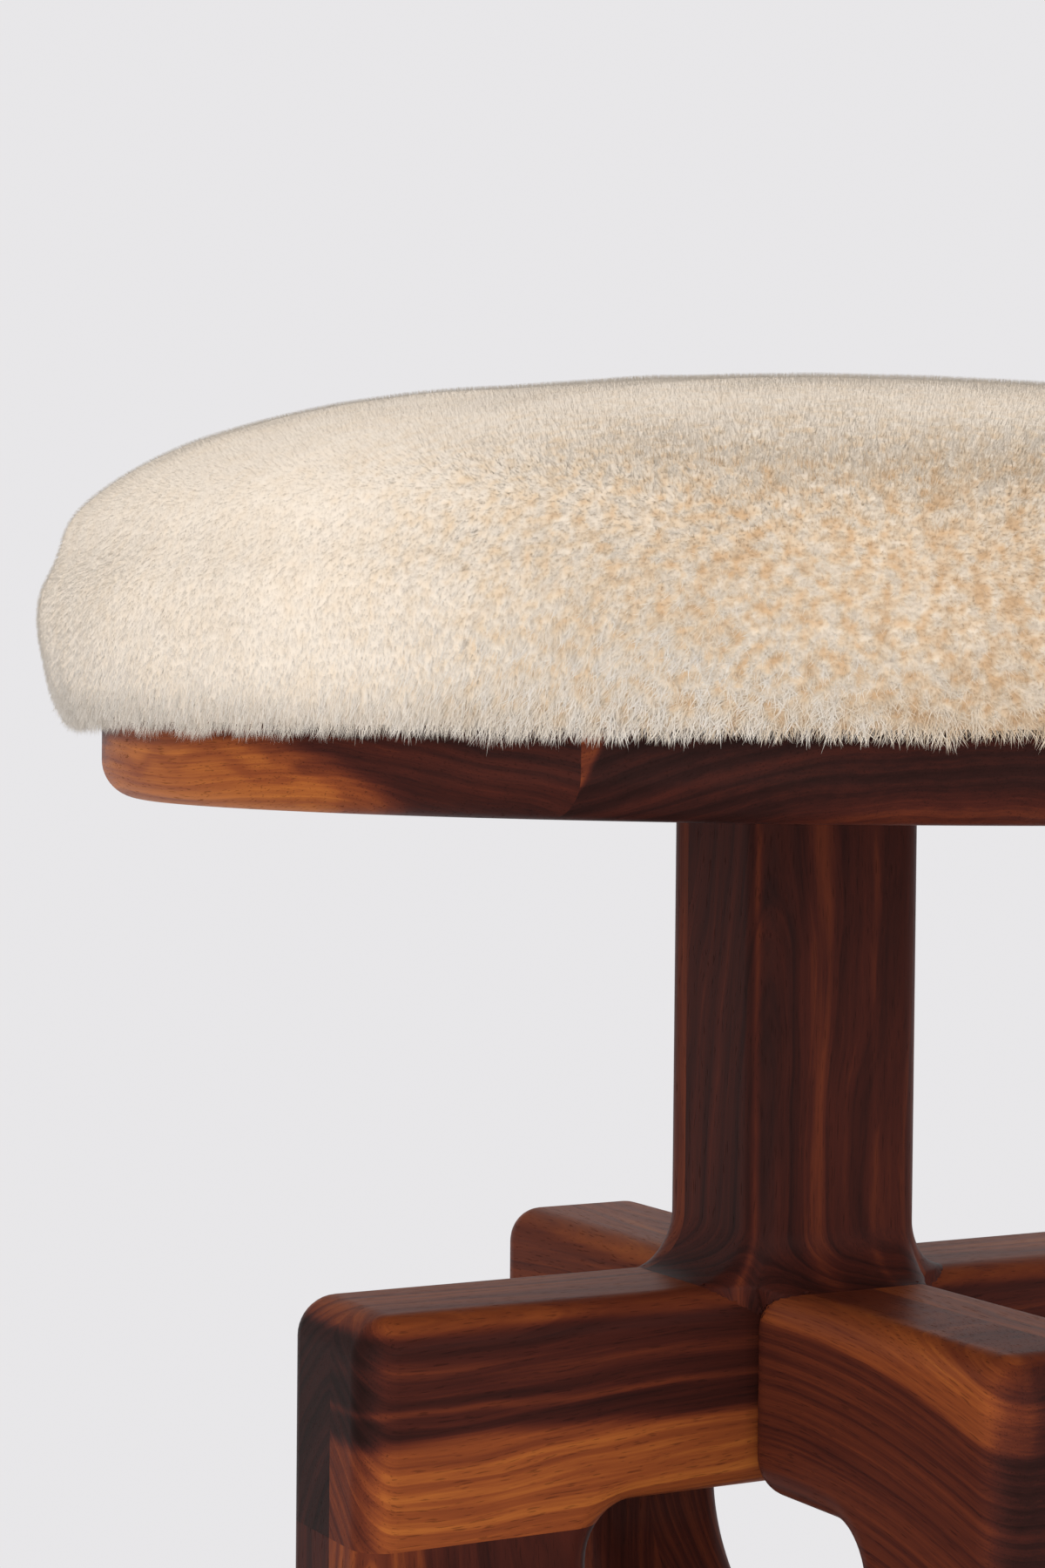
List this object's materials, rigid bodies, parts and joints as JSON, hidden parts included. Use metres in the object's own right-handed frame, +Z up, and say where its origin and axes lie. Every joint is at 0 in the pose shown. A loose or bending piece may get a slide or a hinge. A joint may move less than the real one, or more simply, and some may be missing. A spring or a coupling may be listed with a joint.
{
  "type": "tall stool",
  "caption": "Tall stool: round sheepskin cushion on a round walnut seat board, a square post, and a cross of arms on four legs tied by a lower cross of rails.",
  "frame": {"origin": "on the floor under the post's axis", "axes": "+Z up, X along the long beam, Y along the two short arms, the front arm at -Y"},
  "size_m": [0.386, 0.386, 0.674],
  "materials": {
    "sheepskin": "sheared sheepskin, soft pile with curls",
    "foam": "upholstery foam",
    "birch_ply": "raw plywood",
    "steel_wire": "wire",
    "zinc": "zinc plated",
    "plate_steel": "satin",
    "walnut_gold": "oiled, satin",
    "walnut_mid": "oiled, satin",
    "walnut_dark": "oiled, satin",
    "walnut_red": "oiled, satin",
    "beech": "raw",
    "glide": "moulded"
  },
  "bodies": {
    "root": {"sheepskin_cover": "sheepskin", "foam_pad": "foam", "cushion_base": "birch_ply", "cover_staples": "steel_wire", "tee_nuts": "zinc", "cushion_screws": "zinc", "seat_board_1": "walnut_gold", "seat_board_2": "walnut_mid", "seat_board_3": "walnut_dark", "seat_board_4": "walnut_red", "seat_board_5": "walnut_mid", "seat_plate": "plate_steel", "plate_screws": "zinc", "post_screws": "zinc", "post_front_board": "walnut_dark", "post_back_board": "walnut_gold", "beam_front_board": "walnut_mid", "beam_back_board": "walnut_dark", "front_arm_left_board": "walnut_gold", "front_arm_right_board": "walnut_mid", "back_arm_left_board": "walnut_red", "back_arm_right_board": "walnut_mid", "left_leg_front_board": "walnut_mid", "left_leg_back_board": "walnut_dark", "right_leg_front_board": "walnut_mid", "right_leg_back_board": "walnut_dark", "front_leg_left_board": "walnut_red", "front_leg_right_board": "walnut_mid", "back_leg_left_board": "walnut_red", "back_leg_right_board": "walnut_mid", "long_rail_front_board": "walnut_mid", "long_rail_back_board": "walnut_dark", "front_rail_left_board": "walnut_red", "front_rail_right_board": "walnut_mid", "back_rail_left_board": "walnut_red", "back_rail_right_board": "walnut_mid", "leg_dowels": "beech", "arm_dowels": "beech", "rail_dowels": "beech", "rail_cross_dowels": "beech", "foot_glides": "glide"}
  },
  "joints": []
}
